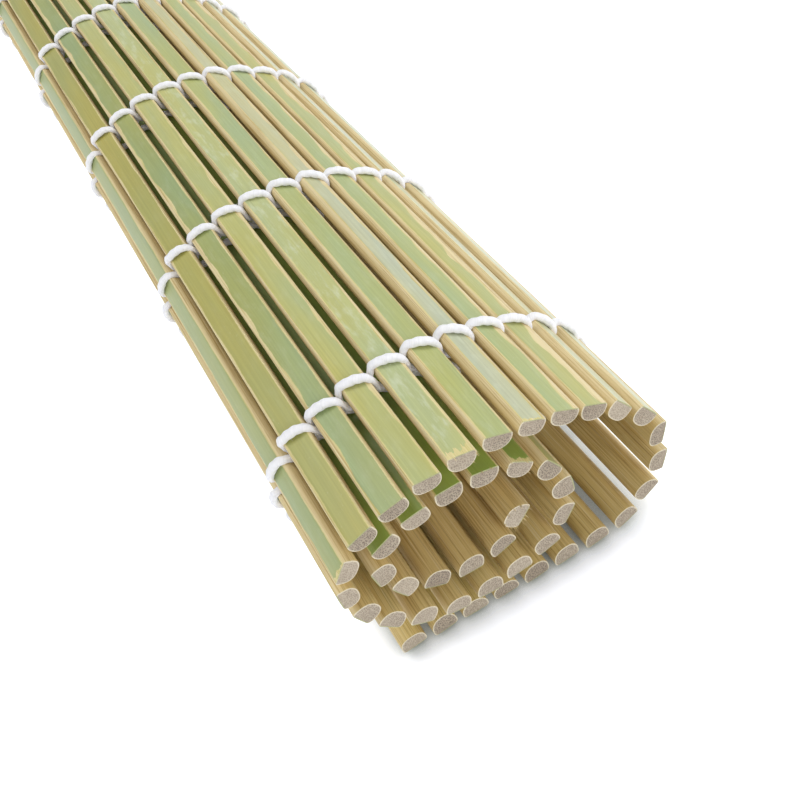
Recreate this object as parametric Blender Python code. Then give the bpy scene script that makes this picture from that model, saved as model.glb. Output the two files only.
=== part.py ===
"""Sushi rolling mat, rolled up.

Forty-four split bamboo slats lie side by side and are twined together by five rows of
cotton twine. The mat is rolled loosely, green skins outwards, into a flattened spiral
that lies on a few of its outer slats.

Units are metres and +Z is up. The slats run along Y, near ends towards -Y. Seen from
-Y the mat starts at its outer free edge at the lower left, follows the floor to the
right, climbs, comes back over the top, goes down the left side and on inwards. The
origin is on the floor under the middle of the roll.
"""

import math
from collections import namedtuple

import bmesh
import bpy
from mathutils import Matrix, Vector

# Slats
SLAT_LENGTH = 0.240
SLAT_WIDTH = 0.0042
SLAT_THICKNESS = 0.0026
SKIN_WIDTH = 0.0037          # flat green face
SKIN_CHAMFER = 0.0003        # drop of the pared edge beside the skin
BELLY_START = 0.0004         # height over mid thickness at which the round belly begins
BELLY_STEPS = 6
SLAT_PITCH = 0.0053          # from slat to slat along the mat

# Twine
ROW_COUNT = 5
ROW_SPACING = 0.049
STRAND_WIDTH = 0.00125       # along the slats
STRAND_FLAT = 0.0007         # flat part of that width on a strand's faces
STRAND_THICKNESS = 0.00085   # over a slat
STRAND_SQUEEZED = 0.0004     # between two slats
STRAND_CLEARANCE = 0.00025   # between a strand and a slat's faces
CROSSING_OFFSET = 0.0008     # each strand's sideways shift where the two pass in a gap

# Roll, outer free edge first. Each section has a number of steps from slat to slat, the
# angle that the mat turns through over them, how far its slats lag behind that turn,
# rocked in their strands, and how far the last slat of the section has slid along its
# length, positive away from the near end.
Section = namedtuple("Section", "name steps turn_deg lag_deg slide")
FIRST_SLIDE = 0.0014
SECTIONS = (
    Section("floor", 6, 0, 0, -0.0008),
    Section("floor end", 1, 6, 0, -0.0009),
    Section("right side", 5, 125, 7, 0.0014),
    Section("top", 8, 65, 10, -0.0001),
    Section("top left", 3, 83, 8, -0.0006),
    Section("left side", 3, 61, 2, -0.0015),
    Section("inner floor", 3, 32, 4, -0.0012),
    Section("inner right side", 4, 125, 10, 0.0004),
    Section("inner shoulder", 2, 36, 5, 0.0009),
    Section("inner top", 2, 24, 7, 0.0006),
    Section("inner left side", 2, 94, 4, 0.0002),
    Section("core heel", 1, 34, 0, 0.0002),
    Section("core floor", 2, 40, 4, -0.0002),
    Section("core lip", 1, 42, 4, 0.0),
)

# Colours, red green blue, and how shiny each surface is
BAMBOO_COLOURS = (
    (0.42, 0.47, 0.20),
    (0.50, 0.50, 0.21),
    (0.45, 0.50, 0.27),
    (0.55, 0.55, 0.33),
)
BAMBOO_ROUGHNESS = 0.45
TWINE_COLOUR = (0.86, 0.87, 0.88)
TWINE_ROUGHNESS = 0.9

Slat = namedtuple("Slat", "centre along outward slide")
Gap = namedtuple("Gap", "middle along outward reach half_thickness")

OUTER_FACE = 1
INNER_FACE = -1
LEADING_END = 1
TRAILING_END = -1

STRAND_INNER = SLAT_THICKNESS / 2 + STRAND_CLEARANCE
STRAND_OUTER = STRAND_INNER + STRAND_THICKNESS


def clear_scene():
    for old_object in list(bpy.data.objects):
        bpy.data.objects.remove(old_object, do_unlink=True)


def make_collection(name):
    collection = bpy.data.collections.new(name)
    bpy.context.scene.collection.children.link(collection)
    return collection


def make_material(name, colour, roughness):
    material = bpy.data.materials.new(name)
    material.use_nodes = True
    shader = material.node_tree.nodes["Principled BSDF"]
    shader.inputs["Base Color"].default_value = (*colour, 1.0)
    shader.inputs["Roughness"].default_value = roughness
    shader.inputs["Metallic"].default_value = 0.0
    return material


def direction(heading):
    """Way the mat runs at a heading, in the plane of x and z, and the outward normal there."""
    along = Vector((math.cos(heading), math.sin(heading)))
    outward = Vector((math.sin(heading), -math.cos(heading)))
    return along, outward


def follow_sections():
    """Heading of each step from slat to slat, and the lag and slide of every slat."""
    heading = 0.0
    headings = []
    lags = [0.0]
    slides = [FIRST_SLIDE]
    for section in SECTIONS:
        slide_start = slides[-1]
        for step in range(1, section.steps + 1):
            heading += math.radians(section.turn_deg) / section.steps
            headings.append(heading)
            lags.append(math.radians(section.lag_deg))
            slides.append(slide_start + (section.slide - slide_start) * step / section.steps)
    return headings, lags, slides


def roll_slats():
    """Walk along the mat and return its slats, with the flat spot's strands at z = 0."""
    headings, lags, slides = follow_sections()
    centre = Vector((0.0, STRAND_OUTER))
    slats = []
    for index, (lag, slide) in enumerate(zip(lags, slides)):
        before = headings[max(index - 1, 0)]
        after = headings[min(index, len(headings) - 1)]
        along, outward = direction((before + after) / 2 - lag)
        slats.append(Slat(centre.copy(), along, outward, slide))
        centre = centre + direction(after)[0] * SLAT_PITCH
    return slats


def gap_after(slats, index):
    """Gap between a slat and the next one; the free edges get a full strand round them."""
    if 0 <= index < len(slats) - 1:
        step = slats[index + 1].centre - slats[index].centre
        middle = slats[index].centre + step / 2
        along, outward = direction(math.atan2(step.y, step.x))
        return Gap(middle, along, outward, SLAT_PITCH / 2, STRAND_SQUEEZED / 2)
    reach = SLAT_WIDTH / 2 + STRAND_CLEARANCE + STRAND_THICKNESS / 2
    edge = slats[0] if index < 0 else slats[-1]
    side = TRAILING_END if index < 0 else LEADING_END
    middle = edge.centre + edge.along * (side * reach)
    return Gap(middle, edge.along, edge.outward, reach, STRAND_THICKNESS / 2)


def bend_point(slat, gap, end, outset, height):
    """Point at a height over the slat's middle plane, beside the gap's middle line.

    Where the mat bends away, that line runs off, and the gap's reach stops the strand short.
    """
    base = gap.middle + gap.along * (end * outset)
    rise = (height - (base - slat.centre).dot(slat.outward)) / gap.outward.dot(slat.outward)
    crossing = base + gap.outward * rise
    reach = min(end * (crossing - slat.centre).dot(slat.along), gap.reach + outset)
    point = slat.centre + slat.along * (end * reach) + slat.outward * height
    point.y = max(point.y, 0.0)
    return point


def strand_corner(slats, index, face, end):
    """Outer and inner point of the bend that a strand makes at one end of a slat."""
    slat = slats[index]
    gap = gap_after(slats, index if end == LEADING_END else index - 1)
    outer = bend_point(slat, gap, end, gap.half_thickness, face * STRAND_OUTER)
    inner = bend_point(slat, gap, end, -gap.half_thickness, face * STRAND_INNER)
    return outer, inner


def crossing_shift(slats, index, face, end):
    """Sideways place of a strand at a slat's end, so that the two strands pass in the gap."""
    last = len(slats) - 1
    at_free_edge = (index == 0 and end == TRAILING_END) or (index == last and end == LEADING_END)
    if at_free_edge:
        return 0.0
    return face * end * CROSSING_OFFSET


def strand_section(left, right, shift, row_y):
    """Six-sided section of a strand between its left and right points in the x z plane."""
    middle = (left + right) / 2
    corners = (
        (left, -STRAND_FLAT / 2),
        (left, STRAND_FLAT / 2),
        (middle, STRAND_WIDTH / 2),
        (right, STRAND_FLAT / 2),
        (right, -STRAND_FLAT / 2),
        (middle, -STRAND_WIDTH / 2),
    )
    return [Vector((point.x, row_y + shift + across, point.y)) for point, across in corners]


def twine_sections(slats, row_y):
    """Sections of a whole row: one strand to the inner edge, round it, the other strand back."""
    sections = []
    for index in range(len(slats)):
        face = OUTER_FACE if index % 2 == 0 else INNER_FACE
        for end in (TRAILING_END, LEADING_END):
            outer, inner = strand_corner(slats, index, face, end)
            left, right = (outer, inner) if face == OUTER_FACE else (inner, outer)
            shift = crossing_shift(slats, index, face, end)
            sections.append(strand_section(left, right, shift, row_y))
    for index in reversed(range(len(slats))):
        face = INNER_FACE if index % 2 == 0 else OUTER_FACE
        for end in (LEADING_END, TRAILING_END):
            outer, inner = strand_corner(slats, index, face, end)
            left, right = (inner, outer) if face == OUTER_FACE else (outer, inner)
            shift = crossing_shift(slats, index, face, end)
            sections.append(strand_section(left, right, shift, row_y))
    return sections


def loft_loop(name, sections):
    """Closed ring of a mesh through sections that change shape from slat to gap."""
    shape = bmesh.new()
    rings = [[shape.verts.new(corner) for corner in section] for section in sections]
    for ring, following in zip(rings, rings[1:] + rings[:1]):
        for corner in range(len(ring)):
            after = (corner + 1) % len(ring)
            shape.faces.new((ring[corner], ring[after], following[after], following[corner]))
    bmesh.ops.triangulate(shape, faces=shape.faces[:])
    bmesh.ops.recalc_face_normals(shape, faces=shape.faces[:])
    mesh = bpy.data.meshes.new(name)
    shape.to_mesh(mesh)
    shape.free()
    return mesh


def slat_outline():
    """Section of a slat: flat skin at the top, pared edges, straight flanks and a round belly."""
    skin = SLAT_THICKNESS / 2
    half_width = SLAT_WIDTH / 2
    outline = [(-SKIN_WIDTH / 2, skin), (SKIN_WIDTH / 2, skin), (half_width, skin - SKIN_CHAMFER)]
    for step in range(BELLY_STEPS + 1):
        angle = math.pi * step / BELLY_STEPS
        across = half_width * math.cos(angle)
        down = (skin + BELLY_START) * math.sin(angle)
        outline.append((across, BELLY_START - down))
    outline.append((-half_width, skin - SKIN_CHAMFER))
    return outline


def make_slat_shape():
    """One slat as a filled outline, drawn out along its length."""
    shape = bpy.data.curves.new("slat_shape", "CURVE")
    shape.dimensions = "2D"
    shape.fill_mode = "BOTH"
    shape.extrude = SLAT_LENGTH / 2
    outline = slat_outline()
    spline = shape.splines.new("POLY")
    spline.points.add(len(outline) - 1)
    for point, (across, up) in zip(spline.points, outline):
        point.co = (across, up, 0.0, 1.0)
    spline.use_cyclic_u = True
    return shape


def place_slat(slat_object, slat):
    """The outline's x follows the mat, its y points outwards, and the slat's length runs along Y."""
    turn = Matrix((
        (slat.along.x, slat.outward.x, 0.0),
        (0.0, 0.0, 1.0),
        (slat.along.y, slat.outward.y, 0.0),
    ))
    slat_object.rotation_euler = turn.to_euler()
    slat_object.location = (slat.centre.x, slat.slide, slat.centre.y)


def make_slats(slats, roll, collection):
    shapes = []
    for number, colour in enumerate(BAMBOO_COLOURS, start=1):
        shape = make_slat_shape()
        shape.materials.append(make_material(f"bamboo_{number}", colour, BAMBOO_ROUGHNESS))
        shapes.append(shape)
    for index, slat in enumerate(slats):
        slat_object = bpy.data.objects.new(f"slat_{index:02d}", shapes[index % len(shapes)])
        collection.objects.link(slat_object)
        slat_object.parent = roll
        place_slat(slat_object, slat)


def make_twine_rows(slats, roll, collection):
    """Rows of twine, and the lowest and highest x that they reach."""
    material = make_material("cotton_twine", TWINE_COLOUR, TWINE_ROUGHNESS)
    for row in range(ROW_COUNT):
        name = f"twine_row_{row + 1}"
        row_y = (row - (ROW_COUNT - 1) / 2) * ROW_SPACING
        mesh = loft_loop(name, twine_sections(slats, row_y))
        mesh.materials.append(material)
        twine_object = bpy.data.objects.new(name, mesh)
        collection.objects.link(twine_object)
        twine_object.parent = roll
    across = [corner.x for section in twine_sections(slats, 0.0) for corner in section]
    return min(across), max(across)


def main():
    clear_scene()
    collection = make_collection("sushi_rolling_mat")
    roll = bpy.data.objects.new("roll", None)
    collection.objects.link(roll)
    slats = roll_slats()
    make_slats(slats, roll, collection)
    low_x, high_x = make_twine_rows(slats, roll, collection)
    slides = [slat.slide for slat in slats]
    roll.location = (-(low_x + high_x) / 2, -(min(slides) + max(slides)) / 2, 0.0)
    bpy.context.view_layer.update()


main()
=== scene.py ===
"""Looks of the rolled sushi mat: split bamboo slats and rows of twisted cotton twine.

Every slat and row of twine is made afresh on the place that its solid has in the frame.
Lengths in the code are metres, and millimetres where a name ends in _mm.
"""
import math
import random

import bpy
import numpy as np
from mathutils import Matrix, Vector


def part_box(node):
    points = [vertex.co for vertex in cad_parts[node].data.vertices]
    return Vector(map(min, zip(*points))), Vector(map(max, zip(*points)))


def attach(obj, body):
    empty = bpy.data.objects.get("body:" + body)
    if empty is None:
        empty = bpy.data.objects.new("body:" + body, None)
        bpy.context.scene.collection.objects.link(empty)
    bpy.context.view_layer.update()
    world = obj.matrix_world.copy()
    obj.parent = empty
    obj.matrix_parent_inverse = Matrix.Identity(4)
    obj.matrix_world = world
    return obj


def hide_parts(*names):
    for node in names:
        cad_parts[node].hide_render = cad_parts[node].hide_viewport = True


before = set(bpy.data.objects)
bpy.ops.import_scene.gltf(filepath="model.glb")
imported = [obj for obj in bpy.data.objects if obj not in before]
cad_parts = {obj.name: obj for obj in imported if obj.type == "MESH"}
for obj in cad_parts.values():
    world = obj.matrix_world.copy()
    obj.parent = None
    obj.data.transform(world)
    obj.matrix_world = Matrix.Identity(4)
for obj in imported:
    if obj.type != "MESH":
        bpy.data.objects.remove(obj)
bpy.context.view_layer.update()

MM = 0.001
ROUNDING_MM = 1e-6
SLAT_COUNT = 44
ROW_COUNT = 5
SEED = 1846

# The photograph's view, found from the slats' ends and the crossings of the twine
CAMERA_PLACE = (-0.02145, -0.19346, 0.13428)
CAMERA_TURN_DEG = (39.648, 15.810, -28.821)
CAMERA_LENS = 44.45

# Slat sections, in millimetres
SLAT_WIDTH_MM = 4.2
SLAT_THICKNESS_MM = 2.6
BELLY_EXTRA_MM = 0.25
FULL_BELLY_EXTRA_MM = 0.80
SKIN_HALF_MM = 1.93
FULL_SKIN_SHARE = 0.88
PARED_SKIN_LOSS_MM = 0.5
SKIN_POINTS = 7
CORNER_POINTS = 3
BELLY_POINTS = 11
STATION_STEP_MM = 5.0
END_STATIONS_MM = (0.0, 0.35, 0.8, 1.3, 2.0, 3.0)
RIM_ROUND_MM = 0.07
CAP_RINGS = (0.86, 0.62, 0.34)
CAP_ROUGH_MM = 0.02
SHARP_ANGLE_DEG = 38

# Slats with a full round belly, and how far slats are rocked in their twine, in degrees
# from the solid's place, positive where a slat's right side tips into the roll. Here and
# below, a slat's right side is the one towards the mat's inner free edge.
FULL_SLATS = tuple(range(0, 9)) + tuple(range(23, 33)) + tuple(range(38, 44))
ROCKED_DEG = {
    9: 9, 10: -14, 11: 8, 12: -7, 13: 15, 14: 8, 15: -4, 17: 2, 19: 10, 20: -4, 21: 4, 22: 12,
    23: 7, 25: -3, 26: -5, 27: -3, 28: -3, 29: -9, 30: 4, 31: 11, 32: 6, 33: 2, 34: 3, 35: -2,
    36: 5, 37: -13, 38: 12, 39: -11, 40: -8, 41: -3, 42: -10,
}

# Skin colours, red green blue, with how much wax bloom lies on each
TONES = {
    "green": (0.400, 0.450, 0.215, 0.25),
    "olive": (0.395, 0.370, 0.105, 0.10),
    "sea": (0.320, 0.370, 0.150, 0.20),
    "lime": (0.445, 0.455, 0.195, 0.20),
    "scuffed": (0.460, 0.485, 0.235, 0.90),
    "grey": (0.485, 0.490, 0.320, 0.60),
    # The deep tone is painted shade: a darker, greener copy of the skin colour for the shaded inner
    # slats
    "deep": (0.250, 0.340, 0.075, 0.05),
}
# Tone of each slat from the outer free edge inwards
SLAT_TONES = (
    "green", "olive", "green", "grey", "olive", "green", "lime", "grey",
    "olive", "green", "grey", "grey", "grey", "lime", "green", "grey",
    "green", "scuffed", "lime", "sea", "olive", "sea", "grey", "olive",
    "green", "lime", "olive", "green", "grey", "olive", "green", "olive",
    # Slats 33 to 37 take the deep tone, painted shade on the inner slats
    "olive", "deep", "deep", "deep", "deep", "deep", "olive", "green",
    "olive", "green", "lime", "olive",
)
# How far each side's pale pared edge reaches over the skin, as a share of half its width
PARED_LEFT = {
    12: 0.40, 13: 0.50, 14: 0.28, 15: 0.30, 16: 0.10, 17: 0.12, 18: 0.22, 31: 0.60, 32: 0.50,
}
PARED_RIGHT = {11: 0.20, 19: 0.22, 20: 0.12, 21: 0.14, 22: 0.80}
PARED_USUAL = 0.07
# Near ends whose skin is torn off, with the length of the tear
TORN_MM = {17: 1.8, 33: 0.9, 15: 0.4, 21: 0.6}
# A tear goes this far round from the skin's middle, where the skin's own edge is at 1
TORN_AROUND = 1.4
# Near ends with torn fibres round the rim, with their number, and the shortest and longest
SPLINTERS = {43: 26, 17: 8, 34: 5, 33: 5}
SPLINTER_REACH_MM = (0.25, 0.90)
SPLINTER_THICK_MM = (0.06, 0.15)
SPLINTER_ROOT_MM = 0.2

# Twine, in millimetres
STRAND_THICK_MM = 1.26
STRAND_WIDE_MM = 1.56
STRAND_GAP_THICK_MM = 0.90
CROSSING_MM = 0.80
CREST_SLANT_MM = 0.70
# A strand's path over one slat, from its leading side: place across the slat in millimetres,
# height of its core over the slat's face as a share of its thickness, its size there, and
# how much of the crest's slant it has
STRAND_OVER_SLAT = (
    (-2.22, -0.06, 0.84, -1.00),
    (-1.35, 0.42, 0.94, -0.45),
    (0.00, 0.54, 1.05, 0.10),
    (1.35, 0.42, 0.94, 0.45),
    (2.22, -0.06, 0.84, 1.00),
)
ROW_BEND_MM = {1: -1.6, 3: 0.4, 4: -0.3, 5: 0.5}
ROW_BEND_SLAT = 20
ROW_BEND_REACH = 6.0
STRAND_STEP_MM = 0.33
STRAND_SIDES = 18
POINTS_PER_GUIDE = 12
PLY_COUNT = 3
PLY_DEPTH = 0.07
TWIST_PITCH_MM = 4.2
FLOOR_CLEARANCE_MM = 0.04
FUZZ_PER_ROW = 700
FUZZ_REACH_MM = (0.25, 0.85)
FUZZ_ROOT_MM = 0.05
FUZZ_ROOT_RADIUS_MM = 0.014
FUZZ_MIDDLE_RADIUS_MM = 0.011

# White table of the photograph
# Painted light: the table glows, and close to what stands on it its glow and colour fade into a painted
# shadow
TABLE_PAINTED_GLOW = 0.56
TABLE_PAINTED_SHADOW_REACH = 0.0045
TABLE_PAINTED_SHADOW_FALL = 1.4
TABLE_HALF = 3.0
WORLD_COLOUR = (0.95, 0.97, 1.0, 1.0)
WORLD_STRENGTH = 0.5
# Round lamps: name, place, what it faces, width, power, colour
LAMPS = (
    ("key", (-0.35, 0.30, 0.85), (0, 0, 0), 0.7, 3.8, (1.0, 0.99, 0.97)),
    ("side", (0.80, 0.05, 0.36), (0, 0, 0), 0.5, 2.6, (0.97, 0.98, 1.0)),
    ("front", (0.10, -0.80, 0.42), (0, -0.1, 0.01), 0.6, 2.9, (1.0, 0.99, 0.98)),
)


def read_slat(index):
    """Place, length and own shape of a slat, read from its solid's skin, the largest face."""
    name = f"slat_{index:02d}"
    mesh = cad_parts[name].data
    skin = max(mesh.polygons, key=lambda face: face.area)
    outward = Vector(skin.normal)
    outward.y = 0.0
    outward.normalize()
    along = outward.cross(Vector((0.0, 1.0, 0.0)))
    heights = [vertex.co.dot(outward) for vertex in mesh.vertices]
    spans = [vertex.co.dot(along) for vertex in mesh.vertices]
    low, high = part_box(name)
    centre = outward * ((max(heights) + min(heights)) / 2) + along * ((max(spans) + min(spans)) / 2)
    centre.y = (low[1] + high[1]) / 2
    rocked = math.radians(ROCKED_DEG.get(index, 0.0))
    turned_along = along * math.cos(rocked) - outward * math.sin(rocked)
    turned_outward = outward * math.cos(rocked) + along * math.sin(rocked)
    return {
        "name": name,
        "index": index,
        "centre": centre,
        "along": turned_along,
        "outward": turned_outward,
        "length": high[1] - low[1],
        "shape": slat_shape(index, random.Random(SEED + index)),
    }


def slat_section(shape):
    """Section of a slat and, for each point, where it lies round it.

    The second value runs from -1 to 1 over the skin, and beyond that it grows by one for
    each millimetre down the flank and round the belly.
    """
    skin = SLAT_THICKNESS_MM / 2
    half_width = shape["width"] / 2
    left, right = -shape["skin_left"], shape["skin_right"]
    points = []
    for step in range(SKIN_POINTS):
        share = step / (SKIN_POINTS - 1)
        crown = shape["crown"] * (1 - (2 * share - 1) ** 2)
        points.append((left + (right - left) * share, skin - shape["crown"] + crown))
    for step in range(1, CORNER_POINTS + 1):
        angle = math.pi / 2 * step / CORNER_POINTS
        across = right + (half_width - right) * math.sin(angle)
        points.append((across, skin - shape["crown"] - shape["flank_right"] * (1 - math.cos(angle))))
    right_height = points[-1][1]
    left_height = skin - shape["crown"] - shape["flank_left"]
    bottom = skin - shape["thickness"]
    for step in range(1, BELLY_POINTS + 1):
        angle = math.pi * step / (BELLY_POINTS + 1)
        side = math.cos(angle)
        start = right_height if side > 0 else left_height
        across = half_width * math.copysign(abs(side) ** shape["belly_power"], side)
        depth = math.sin(angle) ** shape["belly_power"]
        points.append((across + shape["belly_lean"] * depth, start + (bottom - start) * depth))
    for step in range(CORNER_POINTS):
        angle = math.pi / 2 * (1 - step / CORNER_POINTS)
        across = left + (-half_width - left) * math.sin(angle)
        points.append((across, skin - shape["crown"] - shape["flank_left"] * (1 - math.cos(angle))))
    around = []
    for number, (across, up) in enumerate(points):
        if number < SKIN_POINTS:
            around.append(2 * number / (SKIN_POINTS - 1) - 1)
        else:
            before = points[number - 1]
            around.append(around[-1] + math.hypot(across - before[0], up - before[1]))
    return points, around


def slat_shape(index, dice):
    """Small differences that make each slat its own."""
    full = index in FULL_SLATS
    belly_extra = FULL_BELLY_EXTRA_MM if full else BELLY_EXTRA_MM
    skin_half = SKIN_HALF_MM * (FULL_SKIN_SHARE if full else 1.0)
    left_loss = PARED_LEFT.get(index, 0.0) * PARED_SKIN_LOSS_MM
    right_loss = PARED_RIGHT.get(index, 0.0) * PARED_SKIN_LOSS_MM
    return {
        "width": SLAT_WIDTH_MM * dice.uniform(0.99, 1.04),
        "thickness": SLAT_THICKNESS_MM + belly_extra * dice.uniform(0.5, 1.3),
        "skin_left": skin_half * dice.uniform(0.94, 1.03) - left_loss,
        "skin_right": skin_half * dice.uniform(0.94, 1.03) - right_loss,
        "flank_left": dice.uniform(0.60, 1.05),
        "flank_right": dice.uniform(0.60, 1.05),
        "crown": dice.uniform(0.02, 0.06),
        "belly_power": dice.uniform(0.74, 0.92),
        "belly_lean": dice.uniform(-0.18, 0.18),
        "sway": dice.uniform(0.03, 0.13),
        "sway_turn": dice.uniform(0, math.tau),
        "bow": dice.uniform(-0.08, 0.08),
        "saw_tilt": dice.uniform(-0.05, 0.05),
        "saw_lean": dice.uniform(-0.06, 0.06),
        "torn": TORN_MM.get(index, 0.0),
    }


def station_places(length_mm):
    """Distances from the near end at which a slat has a ring of points."""
    near = list(END_STATIONS_MM)
    steps = round((length_mm - 2 * near[-1]) / STATION_STEP_MM)
    gap = (length_mm - 2 * near[-1]) / steps
    middle = [near[-1] + gap * number for number in range(1, steps)]
    return near + middle + [length_mm - place for place in reversed(near)]


def slat_rings(slat, shape, dice):
    """Rings of points down the slat, in its own millimetres: across, up, along its length."""
    section, around = slat_section(shape)
    length_mm = slat["length"] / MM
    places = station_places(length_mm)
    rings = []
    for place in places:
        share = place / length_mm
        shift = shape["sway"] * math.sin(math.tau * 1.3 * share + shape["sway_turn"])
        lift = shape["bow"] * math.sin(math.pi * share)
        swell = 1 + 0.012 * math.sin(math.tau * 2.3 * share + 2 * shape["sway_turn"])
        from_end = min(place, length_mm - place)
        torn_here = place < min(shape["torn"], length_mm / 2)
        ring = []
        for (across, up), around_at in zip(section, around):
            depth = 0.0
            if torn_here and abs(around_at) < TORN_AROUND:
                depth = dice.uniform(0.03, 0.16) * (1 - from_end / shape["torn"])
            saw = 0.0
            if from_end < ROUNDING_MM:
                saw = across * shape["saw_tilt"] + up * shape["saw_lean"]
            ring.append((across * swell + shift, (up - depth) + lift, place - length_mm / 2 + saw))
        rings.append(ring)
    return rings, places, around


def build_slat(slat):
    """Mesh of one slat with its grain, finish and tone stored at the corners of its faces."""
    dice = random.Random(SEED + 500 + slat["index"])
    shape = slat["shape"]
    rings, places, around = slat_rings(slat, shape, dice)
    count = len(rings[0])
    first, last = rings[0][0], rings[0][-1]
    seam_around = around[-1] + math.hypot(first[0] - last[0], first[1] - last[1])
    total_around = seam_around + 1
    grain_seed = dice.uniform(0, 50)
    vertices = [point for ring in rings for point in ring]
    faces = []
    grains = []
    materials = []
    middle_around = (1 + seam_around) / 2

    def side_value(number):
        """Round position, negative on the left half, so that the belly's middle is the seam."""
        value = around[number] if number < count else seam_around
        return value - total_around if value > middle_around else value

    for number in range(len(rings) - 1):
        for point in range(count):
            following = (point + 1) % count
            start, end = side_value(point), side_value(point + 1)
            if abs(end - start) > total_around / 2:
                end += total_around if end < start else -total_around
            base = number * count
            beyond = base + count
            faces.append((base + point, base + following, beyond + following, beyond + point))
            near, far = places[number], places[number + 1]
            grains += [(start, near, grain_seed), (end, near, grain_seed),
                       (end, far, grain_seed), (start, far, grain_seed)]
            materials.append(0)
    for end in (0, len(rings) - 1):
        add_cap(end == 0, end * count, rings[end], vertices, faces, grains, materials, grain_seed, dice)
    for _ in range(SPLINTERS.get(slat["index"], 0)):
        add_splinter(rings[0], vertices, faces, grains, materials, grain_seed, dice)
    mesh = bpy.data.meshes.new(slat["name"].replace("slat", "bamboo"))
    turn = Matrix((
        (slat["along"].x, slat["outward"].x, 0.0),
        (0.0, 0.0, 1.0),
        (slat["along"].z, slat["outward"].z, 0.0),
    ))
    placed = [tuple(slat["centre"] + turn @ (Vector(vertex) * MM)) for vertex in vertices]
    mesh.from_pydata(placed, [], faces)
    mesh.update()
    store(mesh, "grain", "FLOAT_VECTOR", grains)
    left = PARED_LEFT.get(slat["index"], PARED_USUAL)
    right = PARED_RIGHT.get(slat["index"], PARED_USUAL)
    corner_count = len(mesh.loops)
    store(mesh, "finish", "FLOAT_VECTOR", [(left, right, shape["torn"])] * corner_count)
    tone = TONES[SLAT_TONES[slat["index"]]]
    store(mesh, "tone", "FLOAT_COLOR", [tone] * corner_count)
    mesh.polygons.foreach_set("material_index", materials)
    mesh.shade_smooth()
    mesh.set_sharp_from_angle(angle=math.radians(SHARP_ANGLE_DEG))
    piece = bpy.data.objects.new(mesh.name, mesh)
    bpy.context.scene.collection.objects.link(piece)
    return piece


def add_cap(near, first, ring, vertices, faces, grains, materials, grain_seed, dice):
    """Sawn end of a slat: a rounded rim, rings that step inwards and a middle point."""
    count = len(ring)
    centre = np.mean(np.array(ring), axis=0)
    outwards = -1 if near else 1
    previous = list(range(first, first + count))
    previous_grain = [(point[0], point[1], 1.0) for point in ring]
    offset = grain_seed * 3.0
    rows = [(1 - RIM_ROUND_MM / 1.3, RIM_ROUND_MM, 0.95)]
    rows += [(scale, RIM_ROUND_MM + 0.02, scale) for scale in CAP_RINGS]
    for scale, rise, rim in rows:
        current = []
        current_grain = []
        for point in ring:
            across = centre[0] + (point[0] - centre[0]) * scale
            up = centre[1] + (point[1] - centre[1]) * scale
            rough = dice.uniform(-CAP_ROUGH_MM, CAP_ROUGH_MM)
            current.append(len(vertices))
            vertices.append((across, up, point[2] + outwards * rise * 0.5 + rough))
            current_grain.append((across, up, rim))
        for number in range(count):
            following = (number + 1) % count
            corners = [previous[number], previous[following], current[following], current[number]]
            values = [previous_grain[number], previous_grain[following],
                      current_grain[following], current_grain[number]]
            add_cap_face(near, corners, values, faces, grains, offset)
            materials.append(1)
        previous, previous_grain = current, current_grain
    middle = len(vertices)
    vertices.append((centre[0], centre[1], ring[0][2] + outwards * RIM_ROUND_MM * 0.6))
    middle_grain = (centre[0], centre[1], 0.0)
    for number in range(count):
        following = (number + 1) % count
        corners = [previous[number], previous[following], middle]
        values = [previous_grain[number], previous_grain[following], middle_grain]
        add_cap_face(near, corners, values, faces, grains, offset)
        materials.append(1)


def add_splinter(ring, vertices, faces, grains, materials, grain_seed, dice):
    """Thin spike of torn fibre that stands off the rim of the near end."""
    number = dice.randrange(len(ring))
    across, up, place = ring[number]
    beside = ring[(number + 1) % len(ring)]
    share = dice.uniform(0.2, 0.8)
    across += (beside[0] - across) * share
    up += (beside[1] - up) * share
    reach = dice.uniform(*SPLINTER_REACH_MM)
    thick = dice.uniform(*SPLINTER_THICK_MM)
    inner_across, inner_up = across * 0.93, up * 0.93
    root = place + SPLINTER_ROOT_MM
    base = len(vertices)
    vertices.append((inner_across - thick, inner_up, root))
    vertices.append((inner_across + thick, inner_up, root))
    vertices.append((inner_across, inner_up + thick, root))
    spread = 1 + dice.uniform(-0.05, 0.25)
    vertices.append((across * spread, up * spread, place - reach))
    for corners in ((0, 1, 3), (1, 2, 3), (2, 0, 3), (2, 1, 0)):
        faces.append(tuple(base + corner for corner in corners))
        grains += [(2.0, 4.0, grain_seed)] * 3
        materials.append(0)


def add_cap_face(near, corners, values, faces, grains, offset):
    """Add one face of a cap, turned so that it faces out of the slat."""
    if near:
        corners, values = corners[::-1], values[::-1]
    faces.append(tuple(corners))
    grains += [(across + offset, up, rim) for across, up, rim in values]


def store(mesh, name, kind, values):
    """Keep a value for every corner of the mesh's faces."""
    layer = mesh.attributes.new(name, kind, "CORNER")
    field = "color" if kind == "FLOAT_COLOR" else "vector"
    layer.data.foreach_set(field, np.array(values, dtype=np.float32).ravel())


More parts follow.
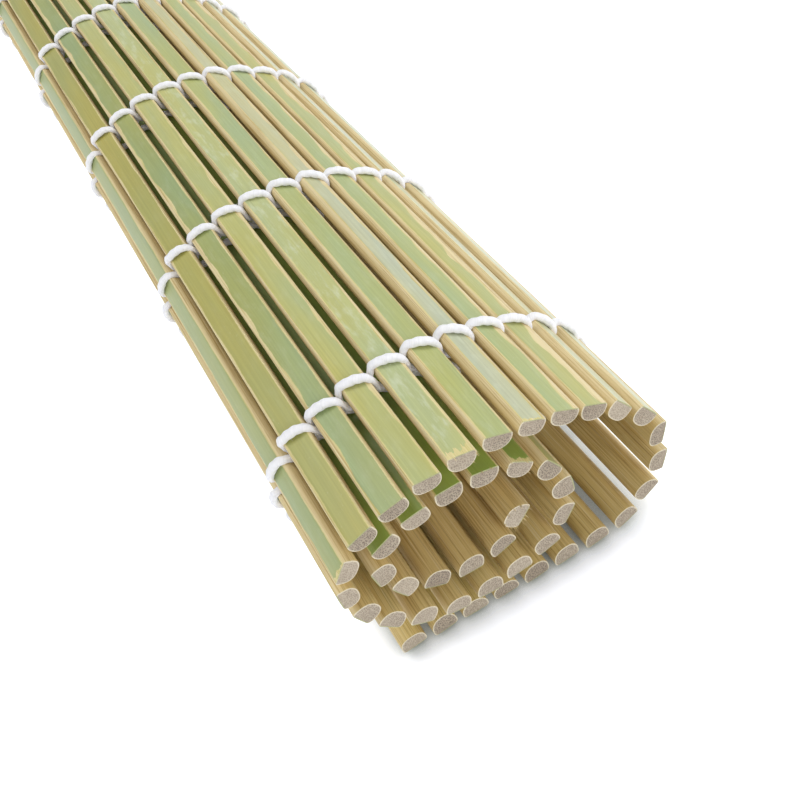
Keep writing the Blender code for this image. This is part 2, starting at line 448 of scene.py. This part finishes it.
class Paint:
    """Short calls for the nodes of one material."""

    def __init__(self, name):
        self.material = bpy.data.materials.new(name)
        self.material.use_nodes = True
        self.tree = self.material.node_tree
        self.shader = self.tree.nodes["Principled BSDF"]

    def node(self, kind, **settings):
        made = self.tree.nodes.new(kind)
        for key, value in settings.items():
            setattr(made, key, value)
        return made

    def link(self, source, target):
        self.tree.links.new(source, target)

    def put(self, target, value):
        """Link a socket, or set a plain value."""
        if isinstance(value, bpy.types.NodeSocket):
            self.link(value, target)
        else:
            target.default_value = value

    def attribute(self, name):
        return self.node("ShaderNodeAttribute", attribute_name=name)

    def split(self, vector):
        parts = self.node("ShaderNodeSeparateXYZ")
        self.link(vector, parts.inputs[0])
        return parts.outputs

    def join(self, x, y, z=0.0):
        parts = self.node("ShaderNodeCombineXYZ")
        for socket, value in zip(parts.inputs, (x, y, z)):
            self.put(socket, value)
        return parts.outputs[0]

    def grain_place(self, grain, around_scale, along_scale):
        """A grain attribute's place, stretched round and along the piece."""
        around, along, seed = grain
        return self.join(self.math("MULTIPLY", around, around_scale),
                         self.math("MULTIPLY", along, along_scale), seed)

    def math(self, operation, first, second=0.0):
        made = self.node("ShaderNodeMath", operation=operation)
        self.put(made.inputs[0], first)
        self.put(made.inputs[1], second)
        return made.outputs[0]

    def noise(self, vector, scale=1.0, detail=3.0, roughness=0.5):
        made = self.node("ShaderNodeTexNoise")
        self.link(vector, made.inputs["Vector"])
        made.inputs["Scale"].default_value = scale
        made.inputs["Detail"].default_value = detail
        made.inputs["Roughness"].default_value = roughness
        return made.outputs["Fac"]

    def remap(self, value, low, high, to_low=0.0, to_high=1.0, smooth=False):
        made = self.node("ShaderNodeMapRange", clamp=True)
        if smooth:
            made.interpolation_type = "SMOOTHSTEP"
        self.link(value, made.inputs["Value"])
        made.inputs["From Min"].default_value = low
        made.inputs["From Max"].default_value = high
        made.inputs["To Min"].default_value = to_low
        made.inputs["To Max"].default_value = to_high
        return made.outputs["Result"]

    def blend(self, factor, first, second, mode="MIX"):
        made = self.node("ShaderNodeMix", data_type="RGBA", blend_type=mode)
        self.put(made.inputs[0], factor)
        self.put(made.inputs[6], first)
        self.put(made.inputs[7], second)
        return made.outputs[2]

    def bump(self, height, strength, distance):
        made = self.node("ShaderNodeBump")
        made.inputs["Strength"].default_value = strength
        made.inputs["Distance"].default_value = distance
        self.link(height, made.inputs["Height"])
        return made.outputs["Normal"]


def bamboo_material():
    """Waxy skin over most of the width, pared pale edges, and a fibrous belly."""
    paint = Paint("split_bamboo")
    grain = paint.split(paint.attribute("grain").outputs["Vector"])
    around, along, seed = grain
    pared_left, pared_right, torn = paint.split(paint.attribute("finish").outputs["Vector"])
    tone = paint.attribute("tone")
    distance = paint.math("ABSOLUTE", around)
    on_right = paint.math("GREATER_THAN", around, 0.0)
    side_seed = paint.math("ADD", seed, paint.math("MULTIPLY", on_right, 9.0))

    wander = paint.noise(paint.join(side_seed, paint.math("MULTIPLY", along, 0.09), seed), 1.0, 2.0)
    nibble = paint.noise(paint.join(side_seed, paint.math("MULTIPLY", along, 1.3), seed), 1.0, 3.0)
    pared = paint.math("ADD", paint.math("MULTIPLY", pared_left, paint.math("SUBTRACT", 1.0, on_right)),
                       paint.math("MULTIPLY", pared_right, on_right))
    reach = paint.math("MULTIPLY", pared, paint.remap(wander, 0.3, 0.7, 0.2, 1.9))
    edge = paint.math("ADD", paint.math("ADD", distance, reach),
                      paint.math("MULTIPLY", paint.math("SUBTRACT", nibble, 0.5), 0.10))
    skin = paint.remap(edge, 0.96, 1.03, 1.0, 0.0, smooth=True)
    tear_line = paint.noise(paint.join(paint.math("MULTIPLY", around, 3.0), seed, 0.0), 1.0, 3.0)
    tear = paint.math("MULTIPLY", torn, paint.remap(tear_line, 0.3, 0.7, 0.2, 1.25))
    whole = paint.math("GREATER_THAN", paint.math("SUBTRACT", along, tear), 0.0)
    skin = paint.math("MULTIPLY", skin, whole)

    streaks = paint.noise(paint.grain_place(grain, 7.0, 0.045), 1.0, 4.0, 0.6)
    drift = paint.noise(paint.grain_place(grain, 0.35, 0.028), 1.0, 2.0)
    yellow = paint.blend(1.0, tone.outputs["Color"], (1.08, 1.0, 0.74, 1.0), "MULTIPLY")
    blue = paint.blend(1.0, tone.outputs["Color"], (0.94, 1.0, 1.06, 1.0), "MULTIPLY")
    skin_colour = paint.blend(paint.remap(drift, 0.32, 0.68), blue, yellow)
    shade = paint.remap(streaks, 0.25, 0.75, 0.88, 1.10)
    skin_colour = paint.blend(1.0, skin_colour, paint.join(shade, shade, shade), "MULTIPLY")
    bloom = paint.noise(paint.grain_place(grain, 1.6, 0.22), 1.0, 5.0, 0.65)
    bloom = paint.remap(bloom, 0.50, 0.72)
    bloom = paint.math("MULTIPLY", bloom, tone.outputs["Alpha"])
    skin_colour = paint.blend(paint.math("MULTIPLY", bloom, 0.55), skin_colour, (0.66, 0.70, 0.55, 1.0))
    flecks = paint.noise(paint.grain_place(grain, 9.0, 1.2), 1.0, 2.0)
    flecks = paint.remap(flecks, 0.70, 0.80, 0.0, 0.35)
    skin_colour = paint.blend(flecks, skin_colour, (0.62, 0.66, 0.45, 1.0))

    fibre_place = paint.grain_place(grain, 4.2, 0.035)
    fibres = paint.noise(fibre_place, 1.0, 4.0, 0.75)
    lines = paint.remap(fibres, 0.50, 0.62, 0.0, 1.0)
    deep = paint.remap(distance, 1.4, 3.2, 0.0, 1.0)
    flesh = paint.blend(deep, (0.720, 0.600, 0.340, 1.0), (0.640, 0.480, 0.195, 1.0))
    line_colour = paint.blend(deep, (0.430, 0.290, 0.090, 1.0), (0.330, 0.200, 0.050, 1.0))
    flesh = paint.blend(paint.math("MULTIPLY", lines, 0.75), flesh, line_colour)
    pale = paint.remap(paint.noise(fibre_place, 2.1, 2.0), 0.56, 0.70, 0.0, 0.5)
    flesh = paint.blend(pale, flesh, (0.800, 0.700, 0.450, 1.0))
    rind = paint.remap(edge, 1.0, 1.30, 1.0, 0.0)
    rind = paint.math("MULTIPLY", rind, paint.remap(streaks, 0.35, 0.6, 0.1, 0.9))
    flesh = paint.blend(paint.math("MULTIPLY", rind, 0.6), flesh, (0.500, 0.490, 0.110, 1.0))

    paint.link(paint.blend(skin, flesh, skin_colour), paint.shader.inputs["Base Color"])
    skin_rough = paint.math("ADD", 0.36, paint.math("MULTIPLY", bloom, 0.3))
    rough = paint.math("ADD", paint.math("MULTIPLY", skin, skin_rough),
                       paint.math("MULTIPLY", paint.math("SUBTRACT", 1.0, skin), 0.62))
    paint.link(rough, paint.shader.inputs["Roughness"])
    paint.shader.inputs["Specular IOR Level"].default_value = 0.45
    relief = paint.math("ADD", paint.math("MULTIPLY", skin, paint.math("MULTIPLY", streaks, 0.25)),
                        paint.math("MULTIPLY", paint.math("SUBTRACT", 1.0, skin), fibres))
    relief = paint.math("ADD", relief, paint.math("MULTIPLY", skin, 0.35))
    paint.link(paint.bump(relief, 0.5, 0.0001), paint.shader.inputs["Normal"])
    return paint.material


def cut_material():
    """Sawn ends: beige ground tissue with dark bundles, finer and closer towards the skin."""
    paint = Paint("sawn_bamboo")
    across, up, rim = paint.split(paint.attribute("grain").outputs["Vector"])
    flat_place = paint.join(across, up, 0.0)
    near_skin = paint.remap(up, 0.2, 1.2, 0.0, 1.0)
    dots = []
    for scale, low, high in ((3.1, 0.18, 0.40), (4.2, 0.18, 0.42)):
        cells = paint.node("ShaderNodeTexVoronoi", voronoi_dimensions="2D")
        cells.inputs["Scale"].default_value = scale
        cells.inputs["Randomness"].default_value = 0.75
        paint.link(flat_place, cells.inputs["Vector"])
        dots.append(paint.remap(cells.outputs["Distance"], low, high, 1.0, 0.0))
    mixed = paint.math("ADD", paint.math("MULTIPLY", dots[0], paint.math("SUBTRACT", 1.0, near_skin)),
                       paint.math("MULTIPLY", dots[1], near_skin))
    patches = paint.noise(flat_place, 1.4, 4.0, 0.6)
    own_tone = paint.noise(paint.join(paint.math("MULTIPLY", across, 0.05), 7.0), 1.0, 0.0)
    patches = paint.math("ADD", paint.math("MULTIPLY", patches, 0.5),
                         paint.math("MULTIPLY", own_tone, 0.5))
    patches = paint.remap(patches, 0.35, 0.65)
    ground = paint.blend(patches, (0.285, 0.232, 0.165, 1.0), (0.460, 0.390, 0.290, 1.0))
    dark = paint.math("MULTIPLY", mixed, paint.remap(own_tone, 0.35, 0.65, 0.95, 0.45))
    colour = paint.blend(dark, ground, (0.120, 0.085, 0.060, 1.0))
    pale_rim = paint.remap(rim, 0.88, 0.97, 0.0, 0.75)
    colour = paint.blend(pale_rim, colour, (0.760, 0.690, 0.500, 1.0))
    rind = paint.math("MULTIPLY", paint.remap(up, 1.02, 1.2, 0.0, 0.75),
                      paint.remap(rim, 0.80, 0.92))
    colour = paint.blend(rind, colour, (0.300, 0.340, 0.120, 1.0))
    paint.link(colour, paint.shader.inputs["Base Color"])
    paint.shader.inputs["Roughness"].default_value = 0.8
    fuzz = paint.noise(flat_place, 9.0, 4.0, 0.7)
    relief = paint.math("SUBTRACT", fuzz, paint.math("MULTIPLY", mixed, 0.8))
    paint.link(paint.bump(relief, 0.6, 0.00008), paint.shader.inputs["Normal"])
    return paint.material


def twine_material():
    """Matt white cotton with fine fibres that follow the twist, and painted shade, a bluish grey, low
    between the raised fibres.
    """
    paint = Paint("cotton_twine")
    around, along, seed = paint.split(paint.attribute("grain").outputs["Vector"])
    twist = paint.math("ADD", paint.math("MULTIPLY", around, 6.0), paint.math("MULTIPLY", along, 5.3))
    fibre_place = paint.join(twist, paint.math("MULTIPLY", along, 0.7), seed)
    fibres = paint.noise(fibre_place, 1.0, 5.0, 0.7)
    clump = paint.noise(paint.join(around, paint.math("MULTIPLY", along, 0.8), seed), 1.0, 3.0)
    raised_lit_share = paint.remap(fibres, 0.3, 0.7)
    # Painted shade: between the raised fibres the cotton turns a darker, bluish grey
    colour = paint.blend(raised_lit_share, (0.780, 0.785, 0.820, 1.0), (0.930, 0.925, 0.940, 1.0))
    soiled = paint.remap(clump, 0.55, 0.75, 0.0, 0.25)
    colour = paint.blend(soiled, colour, (0.840, 0.810, 0.780, 1.0))
    paint.link(colour, paint.shader.inputs["Base Color"])
    paint.shader.inputs["Roughness"].default_value = 0.92
    paint.shader.inputs["Specular IOR Level"].default_value = 0.25
    paint.shader.inputs["Sheen Weight"].default_value = 0.35
    paint.shader.inputs["Sheen Roughness"].default_value = 0.6
    paint.shader.inputs["Subsurface Weight"].default_value = 0.12
    paint.shader.inputs["Subsurface Radius"].default_value = (0.0006, 0.0006, 0.0007)
    paint.link(paint.bump(fibres, 0.75, 0.00014), paint.shader.inputs["Normal"])
    return paint.material


def row_bend(row, place):
    """How far a row strays along the slats, most at one slat and little far from it."""
    away = (place - ROW_BEND_SLAT) / ROW_BEND_REACH
    return ROW_BEND_MM.get(row, 0.0) * MM * math.exp(-away * away)


def strand_guides(slats, row, middle_y):
    """Points that a row's two strands pass, as one closed round trip, with thickness at each."""
    thick = STRAND_THICK_MM * MM
    guides = []

    def slat_points(index, face, trip):
        slat = slats[index]
        skin_height = SLAT_THICKNESS_MM / 2
        surface = (skin_height if face > 0 else slat["shape"]["thickness"] - skin_height) * MM
        for across_mm, rise, size, slant in STRAND_OVER_SLAT[::trip]:
            height = surface + rise * thick
            place = slat["centre"] + slat["along"] * (across_mm * MM)
            place = place + slat["outward"] * (face * height)
            shift = face * CREST_SLANT_MM * MM * slant + row_bend(row, index)
            guides.append((place.x, middle_y + shift, place.z, size))

    def gap_point(index, face):
        """Between two slats: the strand that goes inwards there passes on the far side."""
        first, second = slats[index], slats[index + 1]
        middle = (first["centre"] + second["centre"]) / 2
        shift = face * CROSSING_MM * MM + row_bend(row, index + 0.5)
        guides.append((middle.x, middle_y + shift, middle.z, STRAND_GAP_THICK_MM / STRAND_THICK_MM))

    def edge_point(index, end):
        slat = slats[index]
        reach = (SLAT_WIDTH_MM / 2 * MM + thick * 0.55) * end
        place = slat["centre"] + slat["along"] * reach
        guides.append((place.x, middle_y, place.z, 0.95))

    last = len(slats) - 1
    for index in range(len(slats)):
        face = 1 if index % 2 == 0 else -1
        slat_points(index, face, 1)
        if index < last:
            gap_point(index, face)
    edge_point(last, 1)
    for index in range(last, -1, -1):
        face = -1 if index % 2 == 0 else 1
        slat_points(index, face, -1)
        if index > 0:
            gap_point(index - 1, -face)
    edge_point(0, -1)
    return np.array(guides)


def smooth_loop(guides, step):
    """Even points along a closed smooth curve through the guides, each with its size."""
    fine = []
    count = len(guides)
    shares = np.linspace(0, 1, POINTS_PER_GUIDE, endpoint=False)[:, None]
    square, cube = shares ** 2, shares ** 3
    for number in range(count):
        before, start = guides[number - 1], guides[number]
        end, after = guides[(number + 1) % count], guides[(number + 2) % count]
        tangent_start = (end - before) / 2
        tangent_end = (after - start) / 2
        fine.append((2 * cube - 3 * square + 1) * start + (cube - 2 * square + shares) * tangent_start
                    + (3 * square - 2 * cube) * end + (cube - square) * tangent_end)
    fine = np.concatenate(fine)
    closed = np.vstack([fine, fine[:1]])
    steps = np.linalg.norm(np.diff(closed[:, :3], axis=0), axis=1)
    lengths = np.concatenate([[0.0], np.cumsum(steps)])
    number = int(round(lengths[-1] / step))
    marks = np.linspace(0, lengths[-1], number, endpoint=False)
    columns = [np.interp(marks, lengths, closed[:, column]) for column in range(4)]
    return np.stack(columns, axis=1), lengths[-1]


def strand_mesh(name, path, length):
    """Tube of twisted plies along a closed path, pressed flat across the slats."""
    count = len(path)
    points = path[:, :3]
    tangents = np.roll(points, -1, axis=0) - np.roll(points, 1, axis=0)
    tangents /= np.linalg.norm(tangents, axis=1)[:, None]
    wide = np.array([0.0, 1.0, 0.0]) - tangents * tangents[:, 1:2]
    wide /= np.linalg.norm(wide, axis=1)[:, None]
    thick = np.cross(tangents, wide)
    turns = round(length / MM / TWIST_PITCH_MM)
    twist = math.tau * turns * np.arange(count) / count
    angles = math.tau * np.arange(STRAND_SIDES) / STRAND_SIDES
    lobes = 1 + PLY_DEPTH * np.cos(PLY_COUNT * (angles[None, :] - twist[:, None]))
    sizes = path[:, 3]
    lobe_gain = 1 + PLY_DEPTH * 0.6
    half_thick = STRAND_THICK_MM * MM / 2 * sizes / lobe_gain
    half_wide = STRAND_WIDE_MM * MM / 2 * (0.55 + 0.45 * sizes) / lobe_gain
    across = lobes * np.cos(angles)[None, :] * half_wide[:, None]
    up = lobes * np.sin(angles)[None, :] * half_thick[:, None]
    vertices = (points[:, None, :] + across[..., None] * wide[:, None, :]
                + up[..., None] * thick[:, None, :])
    vertices[..., 2] = np.maximum(vertices[..., 2], FLOOR_CLEARANCE_MM * MM)
    faces = []
    grains = []
    along_mm = length / MM / count
    for number in range(count):
        following = (number + 1) % count
        for side in range(STRAND_SIDES):
            beside = (side + 1) % STRAND_SIDES
            faces.append((number * STRAND_SIDES + side, number * STRAND_SIDES + beside,
                          following * STRAND_SIDES + beside, following * STRAND_SIDES + side))
            start, end = side / STRAND_SIDES, (side + 1) / STRAND_SIDES
            near, far = number * along_mm, (number + 1) * along_mm
            grains += [(start, near, 0.0), (end, near, 0.0), (end, far, 0.0), (start, far, 0.0)]
    mesh = bpy.data.meshes.new(name)
    mesh.from_pydata(vertices.reshape(-1, 3).tolist(), [], faces)
    mesh.update()
    store(mesh, "grain", "FLOAT_VECTOR", grains)
    mesh.shade_smooth()
    return mesh, vertices


def fuzz_mesh(name, path, vertices, dice):
    """Short loose fibres that stand off a row of twine, each a thin three-sided spike."""
    spikes = []
    faces = []
    for _ in range(FUZZ_PER_ROW):
        ring = dice.randrange(len(vertices))
        side = dice.randrange(STRAND_SIDES)
        root = Vector(vertices[ring][side])
        core = Vector(path[ring][:3])
        out = (root - core).normalized()
        lean = Vector([dice.uniform(-1, 1) for _ in range(3)])
        bend = Vector([dice.uniform(-1, 1) for _ in range(3)])
        reach = dice.uniform(*FUZZ_REACH_MM) * MM
        middle = root + (out + lean * 0.8).normalized() * reach * 0.5
        tip = middle + (out + lean * 0.8 + bend * 0.9).normalized() * reach * 0.5
        if min(tip.z, middle.z) < FLOOR_CLEARANCE_MM * MM:
            continue
        root = root - out * FUZZ_ROOT_MM * MM
        across = out.orthogonal().normalized()
        beside = out.cross(across).normalized()
        base = len(spikes)
        for centre, radius in ((root, FUZZ_ROOT_RADIUS_MM), (middle, FUZZ_MIDDLE_RADIUS_MM)):
            for turn in range(3):
                angle = math.tau * turn / 3
                towards = across * math.cos(angle) + beside * math.sin(angle)
                spikes.append(centre + towards * radius * MM)
        spikes.append(tip)
        faces.append((base + 2, base + 1, base))
        for turn in range(3):
            beside_turn = (turn + 1) % 3
            faces.append((base + turn, base + beside_turn, base + 3 + beside_turn, base + 3 + turn))
            faces.append((base + 3 + turn, base + 3 + beside_turn, base + 6))
    mesh = bpy.data.meshes.new(name)
    mesh.from_pydata([tuple(point) for point in spikes], [], faces)
    mesh.update()
    store(mesh, "grain", "FLOAT_VECTOR", [(0.0, 0.0, 0.0)] * len(mesh.loops))
    return mesh


def build_row(row, slats, material):
    """A row of twine and its loose fibres."""
    node = f"twine_row_{row}"
    low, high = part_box(node)
    guides = strand_guides(slats, row, (low[1] + high[1]) / 2)
    path, length = smooth_loop(guides, STRAND_STEP_MM * MM)
    mesh, vertices = strand_mesh(f"cotton_row_{row}", path, length)
    mesh.materials.append(material)
    piece = bpy.data.objects.new(mesh.name, mesh)
    bpy.context.scene.collection.objects.link(piece)
    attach(piece, "root")
    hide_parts(node)
    fuzz = fuzz_mesh(f"cotton_fuzz_{row}", path, vertices, random.Random(SEED + 100 + row))
    fuzz.materials.append(material)
    fuzz_piece = bpy.data.objects.new(fuzz.name, fuzz)
    bpy.context.scene.collection.objects.link(fuzz_piece)
    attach(fuzz_piece, "root")


def build_mat():
    """All slats and rows of twine, each in the place of its own node."""
    slats = [read_slat(index) for index in range(SLAT_COUNT)]
    side, cut, cotton = bamboo_material(), cut_material(), twine_material()
    for slat in slats:
        piece = build_slat(slat)
        piece.data.materials.append(side)
        piece.data.materials.append(cut)
        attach(piece, "root")
        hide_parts(slat["name"])
    for row in range(1, ROW_COUNT + 1):
        build_row(row, slats, cotton)


def build_camera():
    """Camera of the photograph's view."""
    camera = bpy.data.objects.new("camera", bpy.data.cameras.new("camera"))
    camera.location = CAMERA_PLACE
    camera.rotation_euler = [math.radians(angle) for angle in CAMERA_TURN_DEG]
    camera.data.lens = CAMERA_LENS
    camera.data.sensor_width = 36.0
    camera.data.clip_start = 0.005
    bpy.context.scene.collection.objects.link(camera)
    bpy.context.scene.camera = camera


def add_lamp(name, place, target, size, power, colour):
    """Round lamp that faces a point."""
    lamp = bpy.data.lights.new(name, "AREA")
    lamp.shape = "DISK"
    lamp.size = size
    lamp.energy = power
    lamp.color = colour
    holder = bpy.data.objects.new(name, lamp)
    holder.location = place
    holder.rotation_euler = (Vector(target) - Vector(place)).to_track_quat("-Z", "Y").to_euler()
    bpy.context.scene.collection.objects.link(holder)


def floor_material():
    """Overexposed white table that glows, a painted light, and whose glow and colour fade into a dark
    olive painted shadow close to what stands on it.
    """
    paint = Paint("white_table")
    paint.shader.inputs["Roughness"].default_value = 0.7
    nearby = paint.node("ShaderNodeAmbientOcclusion", samples=8)
    nearby.inputs["Distance"].default_value = TABLE_PAINTED_SHADOW_REACH
    painted_light_share = paint.math("POWER", nearby.outputs["AO"], TABLE_PAINTED_SHADOW_FALL)
    # Painted shadow: the table's colour turns dark olive close to what stands on it
    table = paint.blend(painted_light_share, (0.14, 0.15, 0.08, 1.0), (0.89, 0.90, 0.94, 1.0))
    paint.link(table, paint.shader.inputs["Base Color"])
    # Painted light: the table glows, and its glow fades close to what stands on it
    paint.shader.inputs["Emission Color"].default_value = (0.90, 0.92, 1.0, 1.0)
    glow = paint.math("MULTIPLY", painted_light_share, TABLE_PAINTED_GLOW)
    paint.link(glow, paint.shader.inputs["Emission Strength"])
    return paint.material


def build_stage():
    """Table, soft light from all round, and lamps."""
    floor_mesh = bpy.data.meshes.new("floor")
    corners = [(TABLE_HALF * x, TABLE_HALF * y, 0) for x, y in ((-1, -1), (1, -1), (1, 1), (-1, 1))]
    floor_mesh.from_pydata(corners, [], [(0, 1, 2, 3)])
    floor = bpy.data.objects.new("floor", floor_mesh)
    bpy.context.scene.collection.objects.link(floor)
    floor_mesh.materials.append(floor_material())
    world = bpy.data.worlds.new("studio")
    world.use_nodes = True
    background = world.node_tree.nodes["Background"]
    background.inputs["Color"].default_value = WORLD_COLOUR
    background.inputs["Strength"].default_value = WORLD_STRENGTH
    bpy.context.scene.world = world
    for lamp in LAMPS:
        add_lamp(*lamp)
    bpy.context.scene.view_settings.view_transform = "Standard"


build_camera()
build_mat()
build_stage()
